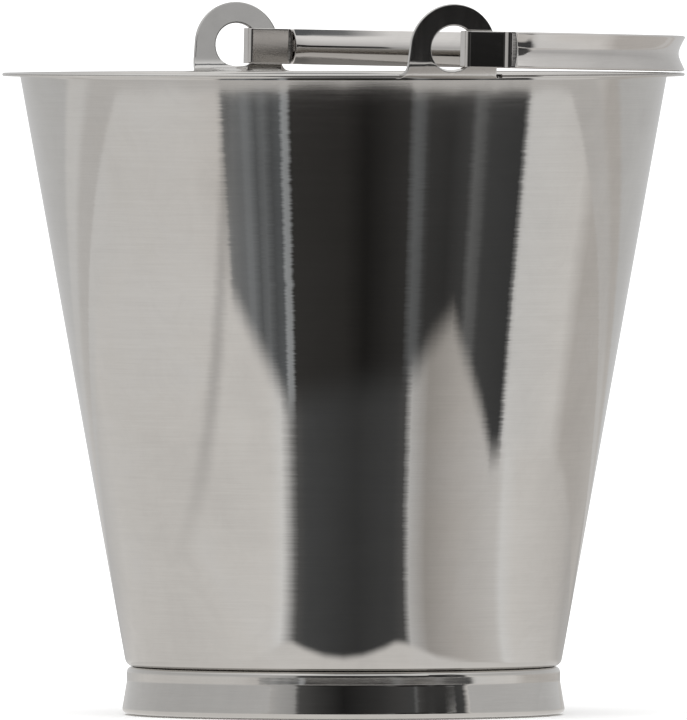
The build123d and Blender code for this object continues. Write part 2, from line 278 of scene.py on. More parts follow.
def steel(name, colour, fine, coarse, roughness, anisotropic, rotation, bump, tint=None):
    """Brushed stainless steel. fine and coarse build the coordinates of the brushing lines."""
    material = bpy.data.materials.new(name)
    material.use_nodes = True
    n = Nodes(material.node_tree)
    place = n.add("ShaderNodeTexCoord").outputs["Object"]
    hair = n.noise(fine(n), 1.0, 2.0, 0.6)
    band = n.noise(coarse(n), 1.0, 3.0, 0.6)
    cloud = n.noise(place, CLOUDS, 4.0, 0.6, 0.4)
    smear = n.noise(place, SMEARS, 5.0, 0.65, 1.2)
    # colour: slight cool and warm drift, darker in smudges, brighter on convex edges as a painted highlight
    dark = [c * 0.93 for c in colour]
    light = [min(1.0, c * 1.06) for c in colour]
    base = n.ramp(cloud, [(0.3, dark), (0.5, colour), (0.72, tint or light)])
    streak = n.remap(band, 0.3, 0.7, 0.985, 1.015)
    hairs = n.remap(hair, 0.25, 0.75, 0.975, 1.02)
    # painted highlight: convex edges get a brighter colour, as if they caught the light
    painted_edge_highlight = n.remap(n.add("ShaderNodeNewGeometry").outputs["Pointiness"], 0.5, 0.58, 1.0, 1.12)
    smudged = n.remap(smear, 0.45, 0.8, 1.0, 1.0 - 0.08 * STAIN)
    value = n.math("MULTIPLY", n.math("MULTIPLY", n.math("MULTIPLY", streak, hairs), painted_edge_highlight), smudged)
    rough = n.remap(band, 0.25, 0.75, roughness * 0.85, roughness * 1.15)
    rough = n.math("ADD", rough, n.remap(smear, 0.55, 0.85, 0.0, 0.8 * roughness * STAIN))
    rough = n.math("ADD", rough, n.remap(hair, 0.3, 0.7, -0.15 * roughness, 0.15 * roughness))
    height = n.math("ADD", n.math("MULTIPLY", hair, 0.7), n.math("MULTIPLY", band, 0.3))
    # grooves turn the surface a little sideways, which feathers the edges of upright reflections
    tangent = n.add("ShaderNodeTangent", direction_type="RADIAL", axis="Z").outputs[0]
    groove = n.noise(fine(n, GROOVE_SHARE), 1.0, 2.0, 0.5)
    swing = n.vector("SCALE", tangent, n.remap(groove, 0.25, 0.75, -FEATHER, FEATHER))
    face = n.add("ShaderNodeNewGeometry").outputs["Normal"]
    face = n.vector("NORMALIZE", n.vector("ADD", face, swing))
    relief = n.add(
        "ShaderNodeBump",
        {"Strength": 0.35, "Distance": bump, "Height": height, "Normal": face},
    ).outputs[0]
    shader = n.add(
        "ShaderNodeBsdfPrincipled",
        {
            "Base Color": n.vector("SCALE", base, value),
            "Metallic": 1.0,
            "Roughness": rough,
            "Anisotropic": anisotropic,
            "Anisotropic Rotation": rotation,
            "Tangent": tangent,
            "Normal": relief,
        },
    )
    n.add("ShaderNodeOutputMaterial", {"Surface": shader.outputs[0]})
    return material


STEEL = (0.60, 0.585, 0.562)
ACROSS = 0.25  # turns the anisotropic blur from along the tangent to across it
BAIL_AXIS_X = -9.0 * MM  # middle of the bail's brushing

WALL_STEEL = steel(
    "wall_steel",
    STEEL,
    lambda n, k=1.0: round_vector(n, 0.0, 5.0, 2600.0 * k),
    lambda n: round_vector(n, 0.0, 1.6, 420.0),
    roughness=0.036,
    anisotropic=0.4,
    rotation=ACROSS,
    bump=0.002 * MM,
    tint=(0.615, 0.605, 0.59),
)
RING_STEEL = steel(
    "ring_steel",
    STEEL,
    lambda n, k=1.0: round_vector(n, 0.0, 7.0, 2600.0 * k),
    lambda n: round_vector(n, 0.0, 2.5, 600.0),
    roughness=0.05,
    anisotropic=0.6,
    rotation=ACROSS,
    bump=0.002 * MM,
)
BAIL_STEEL = steel(
    "bail_steel",
    (0.62, 0.60, 0.58),
    lambda n, k=1.0: round_vector(n, BAIL_AXIS_X, 9.0, 3200.0 * k),
    lambda n: round_vector(n, BAIL_AXIS_X, 3.0, 700.0),
    roughness=0.065,
    anisotropic=0.3,
    rotation=ACROSS,
    bump=0.003 * MM,
)
EAR_STEEL = steel(
    "ear_steel",
    (0.60, 0.59, 0.575),
    lambda n, k=1.0: straight_vector(n, (3400.0 * k, 500.0, 45.0)),
    lambda n: straight_vector(n, (700.0, 200.0, 14.0)),
    roughness=0.11,
    anisotropic=0.4,
    rotation=0.0,
    bump=0.006 * MM,
)


def weld_material():
    """Dull weld metal with straw, brown and blue heat tint."""
    material = bpy.data.materials.new("weld_metal")
    material.use_nodes = True
    n = Nodes(material.node_tree)
    place = n.add("ShaderNodeTexCoord").outputs["Object"]
    cloud = n.noise(place, 260.0, 4.0, 0.6, 0.6)
    grain = n.noise(place, 2400.0, 3.0, 0.6)
    brown, straw, blue, pale = (0.30, 0.27, 0.25), (0.44, 0.40, 0.35), (0.36, 0.37, 0.42), (0.52, 0.49, 0.45)
    colour = n.ramp(cloud, [(0.3, brown), (0.48, straw), (0.6, blue), (0.75, pale)])
    rough = n.remap(grain, 0.3, 0.7, 0.36, 0.58)
    relief = n.add("ShaderNodeBump", {"Strength": 0.6, "Distance": 0.06 * MM, "Height": grain}).outputs[0]
    shader = n.add(
        "ShaderNodeBsdfPrincipled",
        {"Base Color": colour, "Metallic": 1.0, "Roughness": rough, "Normal": relief},
    )
    n.add("ShaderNodeOutputMaterial", {"Surface": shader.outputs[0]})
    return material


WELD_METAL = weld_material()


def piece(obj, material, body, node):
    """Gives a finished piece its material and body, and hides the CAD node that it stands for."""
    obj.data.materials.append(material)
    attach(obj, body)
    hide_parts(node)


# ---- shell: turned profile with the rim notched at both ears ------------------------------
WALL_SLOPE = (WALL_TOP_RADIUS - WALL_BASE_RADIUS) / (RIM_Z - SHEET - BASE_Z)
WALL_SHIFT = SHEET * math.hypot(1, WALL_SLOPE)
BOTTOM_RING, BOTTOM_RINGS = 30 * MM, (20 * MM, 10 * MM, 4 * MM)  # rings of points on the flat bottom


def inside_radius(z):
    """Radius of the wall's inside at a height."""
    return WALL_BASE_RADIUS + (z - BASE_Z) * WALL_SLOPE - WALL_SHIFT


def make_shell():
    """The turned sheet. Its rim stands on the wall's top edge and leaves out the two notches."""
    fold = 0.9 * SHEET
    outside = outline(
        [
            (BOTTOM_RING, BASE_Z),
            (WALL_BASE_RADIUS, BASE_Z),
            (WALL_TOP_RADIUS, RIM_Z - SHEET),
            (NOTCH_RADIUS, RIM_Z - SHEET),
        ],
        [BASE_CORNER, RIM_BEND],
        steps=10,
    )
    flange = outline(
        [
            (NOTCH_RADIUS, RIM_Z - SHEET),
            (HEM_RADIUS, RIM_Z - SHEET),
            (HEM_RADIUS, RIM_Z - 2 * SHEET),
            (RIM_RADIUS, RIM_Z - 2 * SHEET),
            (RIM_RADIUS, RIM_Z),
            (NOTCH_RADIUS, RIM_Z),
        ],
        [0.0, 0.3 * SHEET, fold, fold],
        support=0.25 * MM,
    )[1:-1]
    inside = outline(
        [
            (NOTCH_RADIUS, RIM_Z),
            (inside_radius(RIM_Z), RIM_Z),
            (inside_radius(BASE_Z + SHEET), BASE_Z + SHEET),
            (BOTTOM_RING, BASE_Z + SHEET),
        ],
        [RIM_BEND + SHEET, BASE_CORNER - SHEET],
        steps=10,
    )
    # columns: even steps, with the four notch edges put in exactly
    edge = math.asin(EAR_HALF_WIDTH / NOTCH_RADIUS)
    notches = [(quarter - edge, quarter + edge) for quarter in (math.pi / 2, 3 * math.pi / 2)]
    borders = [angle for notch in notches for angle in notch]
    step = 2 * math.pi / SEGMENTS
    angles = [i * step for i in range(SEGMENTS)]
    angles = [a for a in angles if all(abs(a - b) > 0.4 * step for b in borders)]
    angles = sorted(angles + borders)
    count = len(angles)

    def in_notch(angle, margin=1e-9):
        return any(low + margin < angle < high - margin for low, high in notches)

    verts, faces = [], []
    for row in outside + inside:
        verts.extend(around(row.x, angle, row.y) for angle in angles)
    faces += grid_faces(len(outside), count, wrap_columns=True)
    faces += grid_faces(len(inside), count, wrap_columns=True, start=len(outside) * count)
    outside_end = (len(outside) - 1) * count
    inside_start = len(outside) * count
    # rim beyond the ears' notches
    rim = {}
    for j, angle in enumerate(angles):
        if in_notch(angle):
            continue
        column = [outside_end + j]
        for row in flange:
            turned = angle
            for border in borders:
                if abs(angle - border) < 1e-9:
                    quarter = math.pi / 2 if border < math.pi else 3 * math.pi / 2
                    side = 1 if border > quarter else -1
                    turned = quarter + side * math.asin(EAR_HALF_WIDTH / row.x)
            verts.append(around(row.x, turned, row.y))
            column.append(len(verts) - 1)
        column.append(inside_start + j)
        rim[j] = column
    for j in range(count):
        k = (j + 1) % count
        middle = (angles[j] + (angles[k] if k else 2 * math.pi)) / 2
        if in_notch(middle):
            faces.append((outside_end + j, outside_end + k, inside_start + k, inside_start + j))
            continue
        for low, high in zip(range(len(rim[j]) - 1), range(1, len(rim[j]))):
            faces.append((rim[j][low], rim[k][low], rim[k][high], rim[j][high]))
    for j, angle in enumerate(angles):
        if any(abs(angle - border) < 1e-9 for border in borders):
            faces.append(tuple(rim[j]))
    # closed centres of the bottom, in rings
    for row, z in ((0, BASE_Z), (len(outside) + len(inside) - 1, BASE_Z + SHEET)):
        ring = [row * count + j for j in range(count)]
        for radius in BOTTOM_RINGS:
            first = len(verts)
            verts.extend(around(radius, angle, z) for angle in angles)
            inner_ring = [first + j for j in range(count)]
            for j in range(count):
                k = (j + 1) % count
                faces.append((ring[j], ring[k], inner_ring[k], inner_ring[j]))
            ring = inner_ring
        verts.append(Vector((0, 0, z)))
        faces += [(ring[j], ring[(j + 1) % count], len(verts) - 1) for j in range(count)]
    return add_mesh("pail_shell", verts, faces, sharp_degrees=40)


piece(make_shell(), WALL_STEEL, "pail", "pail_body")


# ---- base ring ------------------------------------------------------------------------------
def make_base_ring():
    """The ring's closed profile, turned round the pail's axis."""
    top, under = BASE_Z, BASE_Z - RING_SHEET
    half = (RING_INNER, top - RING_SHEET / 2)
    rows = outline(
        [
            half,
            (RING_INNER, top),
            (RING_TOP, top),
            (RING_TOP, RING_FLARE_Z),
            (RING_FOOT, 0),
            (RING_FOOT - RING_LIP, 0),
            (RING_FOOT - RING_LIP, RING_SHEET),
            (RING_FOOT - RING_SHEET, RING_SHEET),
            (RING_TOP - RING_SHEET, RING_FLARE_Z),
            (RING_TOP - RING_SHEET, under),
            (RING_INNER, under),
            half,
        ],
        [
            0.2 * MM,
            RING_SHOULDER,
            RING_FLARE_BEND,
            RING_FOOT_CORNER,
            0.3 * MM,
            0.3 * MM,
            RING_FOOT_CORNER - RING_SHEET,
            RING_FLARE_BEND,
            RING_SHOULDER - RING_SHEET,
            0.2 * MM,
        ],
        steps=8,
        support=0.4 * MM,
    )[:-1]
    verts = [around(row.x, 2 * math.pi * j / SEGMENTS, row.y) for row in rows for j in range(SEGMENTS)]
    faces = grid_faces(len(rows), SEGMENTS, wrap_rows=True, wrap_columns=True)
    return add_mesh("foot_ring", verts, faces)


piece(make_base_ring(), RING_STEEL, "pail", "base_ring")


# ---- ears -----------------------------------------------------------------------------------
EAR_ARC_STEPS = 40
PIVOT_RISE = PIVOT_Z - RIM_Z
INNER_BEND = EAR_BEND - EAR_PLATE
MIDDLE_BEND = EAR_BEND - EAR_PLATE / 2
BEND_Y = EAR_FACE_Y - EAR_BEND * math.cos(EAR_LEAN)
BEND_ARC = math.pi / 2 - EAR_LEAN
BEND_LENGTH = MIDDLE_BEND * BEND_ARC
BEND_END_RISE = INNER_BEND - MIDDLE_BEND * math.sin(EAR_LEAN)
FOOT_RUN = MIDDLE_BEND * math.asin((NOTCH_RADIUS - BEND_Y) / MIDDLE_BEND)  # at the ear's middle


def run_at(rise):
    """Length along the middle of the ear's plate, from its foot, at a height above the rim."""
    if rise > BEND_END_RISE:
        return BEND_LENGTH + (rise - BEND_END_RISE) / math.cos(EAR_LEAN)
    turn = math.asin(max(-1.0, (rise - INNER_BEND) / MIDDLE_BEND))
    return MIDDLE_BEND * (turn + math.pi / 2)


def on_ear(x, run, lift):
    """Point of the rear ear: across it, along its plate from the foot, and out from its middle."""
    foot = math.sqrt(NOTCH_RADIUS**2 - x * x) - BEND_Y  # where the foot is cut, from the bend's start
    cut = MIDDLE_BEND * math.asin(foot / MIDDLE_BEND) if foot > 0 else foot
    run = cut + (run - FOOT_RUN) * (BEND_LENGTH - cut) / (BEND_LENGTH - FOOT_RUN) if run < BEND_LENGTH else run
    if run < 0:
        out = (0.0, -1.0)
        y, z = BEND_Y + run, INNER_BEND - MIDDLE_BEND
    elif run < BEND_LENGTH:
        turn = run / MIDDLE_BEND - math.pi / 2
        out = (math.cos(turn), math.sin(turn))
        y, z = BEND_Y + MIDDLE_BEND * out[0], INNER_BEND + MIDDLE_BEND * out[1]
    else:
        out = (math.cos(EAR_LEAN), -math.sin(EAR_LEAN))
        up = run - BEND_LENGTH
        y = BEND_Y + MIDDLE_BEND * out[0] + up * math.sin(EAR_LEAN)
        z = INNER_BEND + MIDDLE_BEND * out[1] + up * math.cos(EAR_LEAN)
    return Vector((x, y + lift * out[0], RIM_Z + z + lift * out[1]))


def ear_outline():
    """Half of the ear's outline as (across, along the plate), from the foot's middle to the top."""
    eye = run_at(PIVOT_RISE)
    taper = (EAR_RADIUS * math.cos(EAR_TAPER), eye + EAR_RADIUS * math.sin(EAR_TAPER))
    flare_run = run_at(EAR_FLARE_RISE)
    flare = (taper[0] + (taper[1] - flare_run) * math.tan(EAR_TAPER), flare_run)
    foot_run = FOOT_RUN + 0.8 * MM
    points = [Vector((EAR_HALF_WIDTH * i / 24, FOOT_RUN)) for i in range(24)]
    points += [Vector((EAR_HALF_WIDTH, FOOT_RUN + (foot_run - FOOT_RUN) * i / 2)) for i in range(2)]
    points.append(Vector((EAR_HALF_WIDTH, foot_run)))
    ahead, down = 0.55 * (EAR_HALF_WIDTH - flare[0]), 0.6 * (flare[1] - foot_run)
    handles = [
        Vector((EAR_HALF_WIDTH, foot_run)),
        Vector((EAR_HALF_WIDTH - ahead, foot_run + 0.35 * ahead)),
        Vector((flare[0] + down * math.tan(EAR_TAPER), flare[1] - down)),
        Vector(flare),
    ]
    for i in range(1, 12):
        t = i / 12
        weights = ((1 - t) ** 3, 3 * t * (1 - t) ** 2, 3 * t * t * (1 - t), t**3)
        points.append(sum((h * w for h, w in zip(handles, weights)), Vector((0, 0))))
    points += [Vector(flare).lerp(Vector(taper), i / 8) for i in range(8)]
    for i in range(EAR_ARC_STEPS + 1):
        angle = EAR_TAPER + (math.pi / 2 - EAR_TAPER) * i / EAR_ARC_STEPS
        points.append(Vector((EAR_RADIUS * math.cos(angle), eye + EAR_RADIUS * math.sin(angle))))
    return points, Vector((0.0, eye))


def make_ear(name, turned):
    """A plate with rounded edges round its outline and its eye; turned is the front ear."""
    half, eye = ear_outline()
    loop = half + [Vector((-p.x, p.y)) for p in reversed(half[1:-1])]
    thick, arc_steps = EAR_PLATE / 2, 4
    spread = [0.0, 0.05, 0.14, 0.26, 0.38, 0.5, 0.62, 0.74, 0.86, 0.95, 1.0]
    rows = []
    for corner in loop:
        out = (corner - eye).normalized()
        hole = eye + out * EYE_RADIUS
        row = []
        for k in range(arc_steps + 1):  # outer face's edge at the eye, rounded
            a = math.pi / 2 * k / arc_steps
            row.append((hole + out * EDGE * (1 - math.cos(a)), thick - EDGE * (1 - math.sin(a))))
        inner, outer = hole + out * EDGE, corner - out * EDGE
        row += [(inner.lerp(outer, t), thick) for t in spread[1:-1]]
        for k in range(arc_steps + 1):
            a = math.pi / 2 * k / arc_steps
            row.append((corner - out * EDGE * (1 - math.sin(a)), thick - EDGE * (1 - math.cos(a))))
        row += [(p, -h) for p, h in reversed(row)]
        rows.append(row)
    side = -1 if turned else 1
    verts = []
    for row in rows:
        for flat, lift in row:
            point = on_ear(flat.x, max(FOOT_RUN, flat.y), lift)
            verts.append(Vector((side * point.x, side * point.y, point.z)))
    faces = grid_faces(len(rows), len(rows[0]), wrap_rows=True, wrap_columns=True)
    return add_mesh(name, verts, faces, sharp_degrees=50)


for node, turned in (("ear_front", True), ("ear_rear", False)):
    piece(make_ear(node + "_plate", turned), EAR_STEEL, "pail", node)


# ---- bail -----------------------------------------------------------------------------------
EAR_PIVOT_Y = on_ear(0.0, run_at(PIVOT_RISE), 0.0).y
LOOP_OUTER_Y = EAR_PIVOT_Y + LOOP_OUTSIDE + BAIL_SHEET
LOOP_INNER_Y = EAR_PIVOT_Y - LOOP_INSIDE - BAIL_SHEET
STEP_END_X = LOOP_STEP_X + LOOP_STEP_LENGTH
GRIP_Y = LOOP_OUTER_Y + LOOP_STEP
ARC_X = (STEP_END_X**2 + GRIP_Y**2 - BAIL_REACH**2) / (2 * (STEP_END_X - BAIL_REACH))
ARC_RADIUS = BAIL_REACH - ARC_X
FLAT_END = math.acos((FLAT_END_X - ARC_X) / ARC_RADIUS)
FLAT_END_Y = ARC_RADIUS * math.sin(FLAT_END)
# steps round the bail's arc: at the channel's start, where it settles, and beyond
FINE_TURN, MIDDLE_TURN, COARSE_TURN = math.radians(0.08), math.radians(0.35), math.radians(1.05)


def bail_path():
    """(point, tangent) along the strip's outside, from its rear free end to the grip's middle."""
    crown_y = FLAT_END_Y + (FLAT_END_X - STEP_END_X) / math.tan(FLAT_END)
    corners = [
        (LOOP_END_X, LOOP_INNER_Y),
        (LOOP_THROUGH_X, LOOP_INNER_Y),
        (LOOP_THROUGH_X, LOOP_OUTER_Y),
        (LOOP_STEP_X, LOOP_OUTER_Y),
        (STEP_END_X, crown_y),
        (FLAT_END_X, FLAT_END_Y),
    ]
    radii = [LOOP_CORNER, LOOP_CORNER, LOOP_STEP_HOLLOW, LOOP_STEP_CROWN]
    result = fillet_path(corners, radii, steps=8, support=0.35 * MM)[:-1]
    angle = FLAT_END
    fade_end = CHANNEL_START_X + CHANNEL_BULGE + CHANNEL_FADE
    while angle > 1e-9:
        point = Vector((ARC_X + ARC_RADIUS * math.cos(angle), ARC_RADIUS * math.sin(angle)))
        result.append((point, Vector((math.sin(angle), -math.cos(angle)))))
        if point.x < CHANNEL_START_X + CHANNEL_BULGE + 1.5 * MM:
            angle -= FINE_TURN
        else:
            angle -= MIDDLE_TURN if point.x < fade_end + 2 * MM else COARSE_TURN
    result.append((Vector((BAIL_REACH, 0.0)), Vector((0.0, -1.0))))
    return result


def pressed(height, station_x):
    """Share of the channel's full depth, at a height and a distance from the ears' axis."""
    start = CHANNEL_START_X + CHANNEL_BULGE * (1 - (height / BAIL_HALF) ** 2)
    drop = min(1.0, max(0.0, (station_x - start) / CHANNEL_END_WALL))
    share = min(1.0, max(0.0, (station_x - start) / CHANNEL_FADE))
    return drop * drop * (3 - 2 * drop) * (1 + CHANNEL_EXCESS * (1 - share) ** 2)


def valley(height, station_x):
    """How far the strip's outside is pressed in there, and how fast that changes with height."""
    share = min(1.0, max(0.0, (station_x - CHANNEL_START_X) / CHANNEL_FADE))
    rounding = BAIL_ROUNDING + (CHANNEL_START_ROUNDING - BAIL_ROUNDING) * (1 - share) ** 2
    edge = math.hypot(BAIL_HALF, rounding)
    rounded = math.hypot(height, rounding)
    scale = BAIL_HOLLOW / (edge - rounding) * pressed(height, station_x)
    return scale * (edge - rounded), -scale * height / rounded


def strip_section(station_x, inset=0.0):
    """Closed section as (out, up), from the lower edge up the outside and down the inside."""
    slope = math.atan(abs(valley(BAIL_HALF, station_x)[1]))
    thick = BAIL_SHEET - 2 * inset
    edge = max(0.02 * MM, BAIL_EDGE - inset)
    reach = BAIL_HALF - (BAIL_SHEET - edge) * math.sin(slope) - inset
    count = 32
    samples = []  # (point of the outside, direction up the sheet)
    for i in range(count + 1):
        v = -1 + 2 * i / count
        height = (reach - edge) * math.copysign(abs(v) ** 0.9, v)
        depth, rise = valley(height, station_x)
        along = Vector((-rise, 1.0)).normalized()
        samples.append((Vector((-depth - inset, height)), along))
    section = []

    def corner(centre, start, end):
        for k in range(1, 5):
            a = math.pi / 2 * k / 5
            section.append(centre + edge * (start * math.cos(a) + end * math.sin(a)))

    section += [point for point, _ in samples]
    point, along = samples[-1]
    out = Vector((along.y, -along.x))
    corner(point - out * edge, out, along)
    section.append(point - out * edge + along * edge)
    section.append(point - out * (thick - edge) + along * edge)
    corner(point - out * (thick - edge), along, -out)
    for point, along in reversed(samples):
        section.append(point - Vector((along.y, -along.x)) * thick)
    point, along = samples[0]
    out = Vector((along.y, -along.x))
    corner(point - out * (thick - edge), -out, -along)
    section.append(point - out * (thick - edge) - along * edge)
    section.append(point - out * edge - along * edge)
    corner(point - out * edge, -along, out)
    return section


def make_bail():
    """The strip: its section swept along the path and its mirror image, then tilted down on the rim."""
    half = bail_path()
    start_point, start_tangent = half[0]
    edge = BAIL_EDGE
    stations = []
    for k in range(5):  # rounded free end
        a = math.pi / 2 * k / 4
        point = start_point + start_tangent * edge * (1 - math.cos(a))
        stations.append((point, start_tangent, edge * (1 - math.sin(a))))
    stations += [(point, tangent, 0.0) for point, tangent in half[1:]]
    stations += [
        (Vector((point.x, -point.y)), Vector((-tangent.x, tangent.y)), inset)
        for point, tangent, inset in reversed(stations[:-1])
    ]
    verts = []
    c, s = math.cos(BAIL_TILT), math.sin(BAIL_TILT)
    for point, tangent, inset in stations:
        left = Vector((-tangent.y, tangent.x))
        on_grip = abs(point.y) > LOOP_OUTER_Y or point.x > FLAT_END_X
        station_x = point.x if on_grip else 0.0
        for out, up in strip_section(station_x, inset):
            x, y = point + left * out
            verts.append(Vector((x * c + up * s, y, PIVOT_Z - x * s + up * c)))
    width = len(strip_section(0.0))
    faces = grid_faces(len(stations), width, wrap_columns=True)
    last = (len(stations) - 1) * width
    faces.append(tuple(range(width)))
    faces.append(tuple(last + j for j in reversed(range(width))))
    return add_mesh("bail_strip", verts, faces, sharp_degrees=60)


piece(make_bail(), BAIL_STEEL, "handle", "handle")


# ---- welds ----------------------------------------------------------------------------------
SPOTS, SPOT_RADIUS = 6, 2.6 * MM
BEAD_LEG, BEAD_DROP = 0.5 * MM, 1.1 * MM  # size of the bead against the wall's edge and downwards
BEAD_SHORT = 1.0 * MM  # how much sooner than the ear it ends
BEAD_RIPPLE = 1.5 * MM  # from ripple to ripple


def make_spot_welds():
    """Shallow nuggets with a pressed ring, under the base ring's top flange."""
    radius = SPOT_RADIUS
    circle = WELD_HIGH.y - radius
    top, depth = WELD_HIGH.z, WELD_HIGH.z - WELD_LOW.z
    rim = [(1.0, 0.0), (0.97, 0.35), (0.9, 0.75), (0.78, 1.0)]
    dish = [(0.66, 0.8), (0.55, 0.5), (0.4, 0.35), (0.2, 0.3)]
    profile = rim + dish  # (share of the radius, share of the depth)
    verts, faces, around_count = [], [], 40
    for spot in range(SPOTS):
        angle = (2 * spot + 1) * math.pi / SPOTS
        centre = around(circle, angle, top)
        first = len(verts)
        for share, drop in profile:
            for j in range(around_count):
                turn = 2 * math.pi * j / around_count
                rough = noise.noise(Vector((spot * 3.1, 2 * math.cos(turn), 2 * math.sin(turn))))
                reach = radius * share * (1 - 0.05 * abs(rough))
                verts.append(centre + Vector((reach * math.cos(turn), reach * math.sin(turn), -depth * drop)))
        faces += grid_faces(len(profile), around_count, wrap_columns=True, start=first)
        verts.append(centre + Vector((0, 0, -depth * 0.3)))
        low = first + (len(profile) - 1) * around_count
        faces += [(low + j, low + (j + 1) % around_count, len(verts) - 1) for j in range(around_count)]
        faces.append(tuple(first + j for j in range(around_count)))
    return add_mesh("spot_weld_nuggets", verts, faces, sharp_degrees=70)


piece(make_spot_welds(), WELD_METAL, "pail", "base_ring_welds")


def make_ear_welds():
    """A rippled bead in the corner between the rim's underside and each ear's foot."""
    sweep = math.asin((EAR_HALF_WIDTH - BEAD_SHORT) / NOTCH_RADIUS)
    length, columns, across = 2 * sweep * NOTCH_RADIUS, 260, 8
    verts, faces = [], []
    for quarter in (math.pi / 2, -math.pi / 2):
        first = len(verts)
        for i in range(columns + 1):
            share = i / columns
            angle = quarter - sweep + 2 * sweep * share
            taper = min(1.0, 8 * min(share, 1 - share) + 0.25)
            ripple = 1 + 0.10 * math.sin(2 * math.pi * share * length / BEAD_RIPPLE)
            ripple += 0.08 * noise.noise(Vector((share * 30, quarter, 0)))
            height = BEAD_DROP * taper
            verts.append(around(NOTCH_RADIUS, angle, RIM_Z - SHEET))
            for k in range(across + 1):
                a = math.pi / 2 * k / across
                swell = min(1.0, 0.86 * ripple)
                radial = BEAD_LEG * taper * math.cos(a)
                drop = height * math.sin(a)
                flatten = 1 - 0.22 * math.sin(2 * a) * swell
                radius, z = NOTCH_RADIUS - radial * flatten, RIM_Z - SHEET - drop * flatten
                verts.append(around(radius, angle, z))
        width = across + 2
        faces += grid_faces(columns + 1, width, wrap_columns=True, start=first)
        faces.append(tuple(first + j for j in range(width)))
        end = first + columns * width
        faces.append(tuple(end + j for j in reversed(range(width))))
    return add_mesh("ear_weld_beads", verts, faces, sharp_degrees=60)


piece(make_ear_welds(), WELD_METAL, "pail", "ear_welds")


# ---- studio -----------------------------------------------------------------------------------
def emission(name, colour_of):
    """A material that only glows, in the colour that colour_of builds."""
    material = bpy.data.materials.new(name)
    material.use_nodes = True
    n = Nodes(material.node_tree)
    glow = n.add("ShaderNodeEmission", {"Color": colour_of(n), "Strength": 1.0})
    n.add("ShaderNodeOutputMaterial", {"Surface": glow.outputs[0]})
    return material


def grey(level, warm=0.0):
    """A grey of the given brightness, drawn towards yellow if warm is positive and blue if negative."""
    return (level * (1 + warm), level, level * (1 - warm))


def bands(*edges):
    """Colour-ramp stops from (azimuth in degrees from the camera, brightness, warmth)."""
    return [((azimuth + 180) / 360, grey(level, warm)) for azimuth, level, warm in edges]


# Brightness round the pail of what its steel mirrors, as azimuth bands. Low bands lie on the floor,
# near the pail and further off; standing bands are on the upright wall of the set.
BEHIND = 0.26
NEAR_BANDS = bands(
    (-180, BEHIND, 0.0),
    (-160, 0.56, 0.01),
    (-125, 0.78, 0.02),
    (-78, 0.80, 0.02),
    (-30, 0.84, 0.02),
    (-25, 0.92, 0.0),
    (-19, 0.12, 0.0),
    (-15, 0.085, -0.03),
    (5, 0.055, -0.02),
    (20, 0.075, -0.02),
    (24.5, 0.10, 0.0),
    (26.5, 0.66, 0.0),
    (34, 0.42, 0.05),
    (48, 0.58, 0.04),
    (68, 0.74, 0.02),
    (72, 0.90, 0.0),
    (80, 0.84, 0.02),
    (118, 0.70, 0.03),
    (135, 0.55, 0.03),
    (160, 0.50, 0.02),
    (180, BEHIND, 0.0),
)
FAR_BANDS = bands(
    (-180, BEHIND, 0.0),
    (-165, 0.60, 0.0),
    (-120, 0.78, 0.01),
    (-56, 0.80, 0.02),
    (-44, 0.76, 0.03),
    (-42, 0.26, -0.02),
    (-37, 0.21, -0.04),
    (-34.5, 0.28, -0.05),
    (-31, 0.14, -0.05),
    (-28.5, 0.21, -0.05),
    (-25.5, 0.11, -0.05),
    (-22.5, 0.14, -0.06),
    (-21.3, 0.42, -0.05),
    (-19.3, 0.36, -0.04),
    (-18.3, 0.045, 0.03),
    (0, 0.035, 0.04),
    (8, 0.018, 0.04),
    (22.5, 0.045, 0.02),
    (25, 0.16, -0.04),
    (27.5, 0.15, -0.04),
    (30, 0.055, 0.0),
    (38, 0.045, 0.0),
    (45.5, 0.07, -0.01),
    (47.5, 0.16, -0.02),
    (50, 0.15, -0.02),
    (52.5, 0.075, -0.02),
    (67, 0.06, -0.02),
    (69.2, 0.84, 0.0),
    (98, 0.84, 0.02),
    (108, 0.60, 0.04),
    (150, 0.58, 0.04),
    (180, BEHIND, 0.0),
)
WALL_LEFT = ((-180, 0.60, 0.0), (-120, 0.78, 0.01), (-60, 0.78, 0.01), (-43, 0.62, 0.02), (-33, 0.50, 0.0))
WALL_RIGHT = ((98, 0.84, 0.02), (108, 0.60, 0.04), (150, 0.58, 0.04), (180, 0.60, 0.0))
STANDING_BANDS = bands(
    *WALL_LEFT,
    (-25.5, 0.42, 0.0),
    (-23.5, 0.09, 0.0),
    (-10, 0.035, 0.0),
    (5, 0.022, 0.03),
    (20, 0.05, 0.0),
    (25, 0.12, 0.0),
    (29, 0.016, 0.0),
    (43, 0.014, 0.03),
    (46, 0.10, 0.0),
    (49, 0.03, 0.0),
    (61, 0.06, -0.02),
    (65, 0.08, 0.0),
    (68, 0.80, 0.02),
    *WALL_RIGHT,
)
UPPER_BANDS = bands(
    *WALL_LEFT,
    (-25.5, 0.43, 0.0),
    (-23.5, 0.10, 0.0),
    (-14, 0.06, 0.0),
    (0, 0.02, 0.0),
    (20, 0.05, 0.0),
    (31, 0.075, 0.0),
    (36.5, 0.08, -0.02),
    (38, 0.17, -0.02),
    (39.5, 0.08, 0.0),
    (44, 0.055, 0.0),
    (56, 0.055, 0.0),
    (63, 0.085, 0.0),
    (66.5, 0.08, 0.0),
    (69, 0.78, 0.02),
    *WALL_RIGHT,
)
NOSE_BANDS = bands((-180, 0.55, 0.02), (-60, 0.8, 0.02), (60, 0.8, 0.02), (180, 0.55, 0.02))
# (height, half of its blur) where standing bands take over from the floor's, and upper from standing
STANDING_FROM = (0.012, 0.01)
UPPER_FROM = (0.316, 0.004)

SET_RADIUS, SET_HEIGHT = 1.3, 2.8
SET_FLOOR_Z = -0.5 * MM
AXIS_GAP = 0.5 * MM  # hole left on the axis of the floor and the lid
LID_STEP = 0.5  # ring of points on the lid

